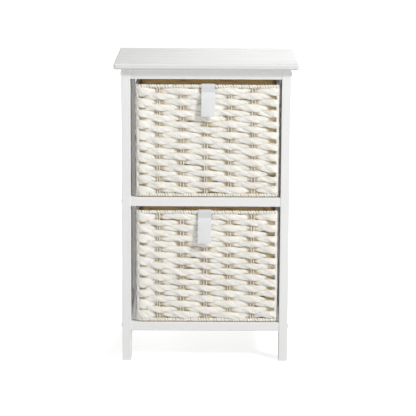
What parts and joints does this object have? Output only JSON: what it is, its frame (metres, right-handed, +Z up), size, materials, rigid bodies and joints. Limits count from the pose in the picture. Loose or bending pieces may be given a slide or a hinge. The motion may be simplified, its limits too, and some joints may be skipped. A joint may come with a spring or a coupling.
{
  "type": "bathroom drawer unit",
  "caption": "Tall slim white bathroom drawer unit: painted wooden frame with a grooved top and woven paper-rope baskets that slide out as drawers by fabric pull straps.",
  "frame": {"origin": "on the floor, under the middle of the top board", "axes": "+Z up, -Y to the front where the drawers come out, +X to the right of someone facing the front"},
  "size_m": [0.37, 0.28, 0.618],
  "materials": {
    "white_paint": "wood under smooth satin white paint",
    "cap": "satin white moulded cap",
    "steel": "zinc-plated steel",
    "dowel": "plain beech",
    "weave": "twisted paper rope, painted white outside, natural brown in the gaps and inside",
    "stake": "thin twisted paper cord",
    "strap": "white cotton webbing, sewn"
  },
  "bodies": {
    "frame": {"top_panel": "white_paint", "leg_front_left": "white_paint", "leg_front_right": "white_paint", "leg_rear_left": "white_paint", "leg_rear_right": "white_paint", "front_top_rail": "white_paint", "front_mid_rail": "white_paint", "front_bottom_rail": "white_paint", "rear_top_rail": "white_paint", "rear_mid_rail": "white_paint", "rear_bottom_rail": "white_paint", "side_top_rail_left": "white_paint", "side_top_rail_right": "white_paint", "side_bottom_rail_left": "white_paint", "side_bottom_rail_right": "white_paint", "side_panel_left": "white_paint", "side_panel_right": "white_paint", "upper_runner_left": "white_paint", "upper_runner_right": "white_paint", "lower_runner_left": "white_paint", "lower_runner_right": "white_paint", "rail_screws": "steel", "screw_caps": "cap", "top_screws": "steel", "runner_dowels": "dowel", "side_dowels": "dowel"},
    "upper_drawer": {"upper_walls": "weave", "upper_base": "weave", "upper_rim": "weave", "upper_foot": "weave", "upper_wires": "steel", "upper_stakes": "stake"},
    "lower_drawer": {"lower_walls": "weave", "lower_base": "weave", "lower_rim": "weave", "lower_foot": "weave", "lower_wires": "steel", "lower_stakes": "stake"},
    "upper_pull": {"upper_strap": "strap"},
    "lower_pull": {"lower_strap": "strap"}
  },
  "joints": [
    {"name": "upper_drawer_slide", "type": "slide", "parent": "frame", "child": "upper_drawer", "axis": [0, -1, 0], "range_m": [0, 0.26]},
    {"name": "lower_drawer_slide", "type": "slide", "parent": "frame", "child": "lower_drawer", "axis": [0, -1, 0], "range_m": [0, 0.26]},
    {"name": "upper_pull_swing", "type": "hinge", "parent": "upper_drawer", "child": "upper_pull", "pos_m": [0.004, -0.119, 0.5705], "axis": [-1, 0, 0], "range_deg": [0, 90]},
    {"name": "lower_pull_swing", "type": "hinge", "parent": "lower_drawer", "child": "lower_pull", "pos_m": [-0.002, -0.119, 0.3125], "axis": [-1, 0, 0], "range_deg": [0, 90]}
  ]
}
